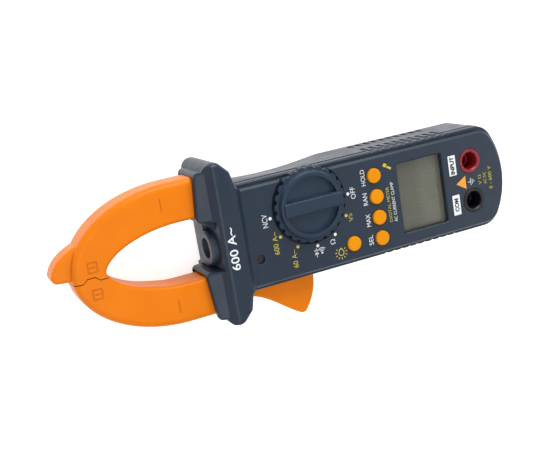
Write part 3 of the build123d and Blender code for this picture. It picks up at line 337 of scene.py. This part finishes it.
def words(name, text, x, y, wide, high, level, material, bold=0.0):
    """Printed letters centred on (x, y) and fitted to a size in millimetres; bold thickens them."""
    curve = bpy.data.curves.new(name + "_curve", "FONT")
    curve.body = text
    curve.resolution_u = 4
    curve.offset = bold
    curve.extrude = PRINT_THICK / 2
    holder = bpy.data.objects.new(name + "_holder", curve)
    bpy.context.scene.collection.objects.link(holder)
    bpy.context.view_layer.update()
    mesh = bpy.data.meshes.new_from_object(holder.evaluated_get(bpy.context.evaluated_depsgraph_get()))
    bpy.data.objects.remove(holder)
    xs = [v.co.x for v in mesh.vertices]
    ys = [v.co.y for v in mesh.vertices]
    zs = [v.co.z for v in mesh.vertices]
    width = max(xs) - min(xs)
    height = max(ys) - min(ys)
    depth = max(zs) - min(zs)
    for v in mesh.vertices:
        v.co.x = x * MM + ((v.co.x - min(xs)) / width - 0.5) * wide * MM
        v.co.y = y * MM + ((v.co.y - min(ys)) / height - 0.5) * high * MM
        v.co.z = level + PRINT_LIFT + (v.co.z - min(zs)) / depth * PRINT_THICK
    mesh.name = name
    place(mesh, name, material)


def disc(x, y, radius, steps=28):
    """Corners of a round spot."""
    angles = [2 * math.pi * i / steps for i in range(steps)]
    return [(x + radius * math.cos(a), y + radius * math.sin(a)) for a in angles]


def stroke(x0, y0, x1, y1, width):
    """Corners of a straight printed line."""
    along = Vector((x1 - x0, y1 - y0)).normalized()
    side = Vector((-along.y, along.x)) * width / 2
    return [(x0 - side.x, y0 - side.y), (x1 - side.x, y1 - side.y),
            (x1 + side.x, y1 + side.y), (x0 + side.x, y0 + side.y)]


def arc_band(x, y, radius, width, start, stop, steps=14):
    """Corners of a printed arc."""
    angles = [math.radians(start + (stop - start) * i / steps) for i in range(steps + 1)]
    outer = [(x + (radius + width / 2) * math.cos(a), y + (radius + width / 2) * math.sin(a)) for a in angles]
    inner = [(x + (radius - width / 2) * math.cos(a), y + (radius - width / 2) * math.sin(a)) for a in angles]
    return outer + inner[::-1]


def rectangle(x0, y0, x1, y1):
    """Corners of an upright printed plate."""
    return [(x0, y0), (x1, y0), (x1, y1), (x0, y1)]


def dial_dots():
    """One dot for each position of the rotary switch, clockwise from OFF."""
    inks = (WHITE_INK, YELLOW_INK, WHITE_INK, WHITE_INK, YELLOW_INK, YELLOW_INK, WHITE_INK)
    for i, colour in enumerate(inks):
        angle = math.radians(-90 - DIAL_STEP * i)
        x = (DIAL_X + DIAL_DOT_R * math.cos(angle)) / MM
        y = (DIAL_Y + DIAL_DOT_R * math.sin(angle)) / MM
        flat_shapes(f"dial_dot_{i + 1}", [disc(x, y, 0.75)], FACE_Z, colour)


def face_legends():
    """Function names beside the switch and the buttons, and the socket plates."""
    labels = (
        ("legend_off", "OFF", 8.5, -22.0, 5.4, 2.4, WHITE_INK),
        ("legend_volts", "V", -3.0, -19.2, 2.0, 2.1, YELLOW_INK),
        ("legend_ohms", "Ω", -11.0, -8.6, 2.4, 2.3, WHITE_INK),
        ("legend_60_amps", "60 A~", -13.9, 10.8, 8.2, 2.4, YELLOW_INK),
        ("legend_600_amps", "600 A~", -4.9, 18.7, 10.2, 2.4, YELLOW_INK),
        ("legend_ncv", "NCV", 6.0, 22.0, 5.9, 2.5, WHITE_INK),
        ("legend_hold", "HOLD", 14.0, -28.0, 7.4, 2.2, WHITE_INK),
        ("legend_range", "RAN", 4.1, -27.7, 5.6, 2.2, WHITE_INK),
        ("legend_max", "MAX", -5.8, -27.8, 5.8, 2.2, WHITE_INK),
        ("legend_select", "SEL", -15.1, -27.8, 4.6, 2.2, WHITE_INK),
        ("legend_line_1", "DIGITAL METER", -1.0, -39.5, 16.4, 1.5, YELLOW_INK),
        ("legend_line_2", "AC CURRENT CLAMP", -0.4, -42.1, 18.6, 1.6, WHITE_INK),
        ("legend_socket_1", "V Ω", -0.6, -89.5, 4.6, 1.7, YELLOW_INK),
        ("legend_socket_2", "AC DC", -0.4, -92.4, 5.8, 1.7, YELLOW_INK),
        ("legend_socket_3", "0 - 600 V", -0.8, -95.4, 11.0, 1.8, YELLOW_INK),
    )
    for name, text, x, y, wide, high, colour in labels:
        words(name, text, x, y, wide, high, FACE_Z, colour)
    on_plate = FACE_Z + PRINT_LIFT + PRINT_THICK
    for name, text, x, wide in (("input", "INPUT", 9.2, 8.4), ("common", "COM", -9.8, 6.4)):
        plate = rectangle(x - 4.8, PLATE_Y - 2.0, x + 4.8, PLATE_Y + 2.0)
        flat_shapes(f"plate_{name}", [plate], FACE_Z, WHITE_INK)
        words(f"legend_{name}", text, x, PLATE_Y, wide, 2.3, on_plate, DARK_INK, bold=0.04)


def sound_sign():
    """A source with three rings of sound."""
    x, y = SOUND_AT
    rings = [arc_band(x, y, radius, 0.28, -45, 45) for radius in (1.0, 1.7, 2.4)]
    flat_shapes("symbol_sound", [disc(x, y, 0.45), *rings], FACE_Z, WHITE_INK)


def lamp_sign():
    """A bulb with nine rays round it."""
    x, y = LAMP_AT
    rays = []
    for i in range(9):
        angle = math.radians(50 + 260 * i / 8)
        across, up = math.cos(angle), math.sin(angle)
        rays.append(stroke(x + 2.2 * across, y + 2.2 * up, x + 3.1 * across, y + 3.1 * up, 0.4))
    bulb = [arc_band(x, y, 1.3, 0.4, 60, 300), stroke(x + 0.7, y + 1.1, x + 1.8, y + 0.5, 0.4),
            stroke(x + 0.7, y - 1.1, x + 1.8, y - 0.5, 0.4), stroke(x + 1.9, y + 0.4, x + 1.9, y - 0.4, 0.7)]
    flat_shapes("symbol_light", rays + bulb, FACE_Z, YELLOW_INK)


def earth_sign():
    """A stem over three bars that grow shorter."""
    x, y = EARTH_AT
    strokes = [stroke(x, y + 1.5, x, y + 0.1, 0.3)]
    for half, drop in ((1.7, 0.0), (1.1, 0.9), (0.5, 1.8)):
        strokes.append(stroke(x - half, y - drop, x + half, y - drop, 0.3))
    flat_shapes("symbol_earth", strokes, FACE_Z, WHITE_INK)


def face_symbols():
    """Generic electrical signs: alternating and direct, diode, sound, lamp, torch, earth and a triangle."""
    wave = [arc_band(-1.5, -18.9, 0.35, 0.26, 0, 180), arc_band(-0.8, -18.9, 0.35, 0.26, 180, 360)]
    flat_shapes("symbol_ac_dc", wave + [stroke(-1.9, -19.9, -0.4, -19.9, 0.26)], FACE_Z, YELLOW_INK)
    diode = [stroke(-15.9, 0.0, -11.9, 0.0, 0.3), [(-14.7, 1.0), (-14.7, -1.0), (-13.0, 0.0)],
             stroke(-12.9, 1.1, -12.9, -1.1, 0.35)]
    flat_shapes("symbol_diode", diode, FACE_Z, WHITE_INK)
    sound_sign()
    lamp_sign()
    torch = [[(18.3, -39.6), (17.1, -38.7), (16.2, -40.0), (17.6, -41.0)],
             [(16.9, -41.0), (16.1, -40.4), (14.7, -42.6), (15.5, -43.2)]]
    flat_shapes("symbol_torch", torch, FACE_Z, YELLOW_INK)
    earth_sign()
    flat_shapes("mark_triangle", [[(-0.1, -76.4), (-3.4, -81.7), (3.0, -81.7)]], FACE_Z, AMBER_INK)


dial_dots()
face_legends()
face_symbols()
words("collar_rating", "600 A~", -1.8, 39.2, 19.0, 3.9, COLLAR_Z, WHITE_INK, bold=0.01)


# ---------------------------------------------------------------- stage
def make_floor():
    """A pale floor just under the meter."""
    mesh = bpy.data.meshes.new("floor")
    reach = 3.0
    corners = [(-reach, -reach, 0), (reach, -reach, 0), (reach, reach, 0), (-reach, reach, 0)]
    mesh.from_pydata(corners, [], [(0, 1, 2, 3)])
    floor = bpy.data.objects.new("floor", mesh)
    floor.location.z = CAD_BOX[0][2] - 0.05 * MM
    bpy.context.scene.collection.objects.link(floor)
    material, tree, shader = node_tree("floor_paper")
    shader.inputs["Base Color"].default_value = (0.62, 0.62, 0.62, 1)
    shader.inputs["Roughness"].default_value = 0.9
    shader.inputs["Specular IOR Level"].default_value = 0.1
    shader.inputs["Emission Color"].default_value = (1, 1, 1, 1)
    shader.inputs["Emission Strength"].default_value = 0.72
    mesh.materials.append(material)


def area_light(name, at, aim, size, power):
    """A soft square light pointed at a place."""
    lamp = bpy.data.lights.new(name, "AREA")
    lamp.size = size
    lamp.energy = power
    holder = bpy.data.objects.new(name, lamp)
    holder.location = at
    holder.rotation_euler = (Vector(aim) - Vector(at)).to_track_quat("-Z", "Y").to_euler()
    bpy.context.scene.collection.objects.link(holder)


def make_lights():
    """Even studio light, strongest from the reader's right, with a little from each end."""
    world = bpy.data.worlds.new("studio")
    world.use_nodes = True
    world.node_tree.nodes["Background"].inputs["Color"].default_value = (1.0, 1.0, 1.0, 1)
    world.node_tree.nodes["Background"].inputs["Strength"].default_value = 0.6
    bpy.context.scene.world = world
    middle = (0.0, 0.0, 0.02)
    area_light("key_light", (0.75, -0.2, 0.45), middle, 0.5, 8.0)
    area_light("top_light", (-0.15, 0.3, 0.9), middle, 0.7, 4.4)
    area_light("fill_light", (-0.7, 0.5, 0.4), middle, 0.7, 1.6)
    area_light("jaw_light", (0.05, 0.8, 0.12), middle, 0.5, 0.5)
    area_light("end_light", (-0.25, -0.75, 0.75), middle, 0.5, 1.7)


def make_camera():
    """Looks down on the face from beyond the jaws, on the reader's right."""
    data = bpy.data.cameras.new("camera")
    data.sensor_width = 36.0
    data.lens = 65.65
    camera = bpy.data.objects.new("camera", data)
    camera.location = (0.10229, 0.17633, 0.42598)
    camera.rotation_euler = Euler([math.radians(a) for a in (-9.187, -23.786, -100.098)], "XYZ")
    bpy.context.scene.collection.objects.link(camera)
    bpy.context.scene.camera = camera


make_floor()
make_lights()
make_camera()
bpy.context.scene.view_settings.view_transform = "Standard"
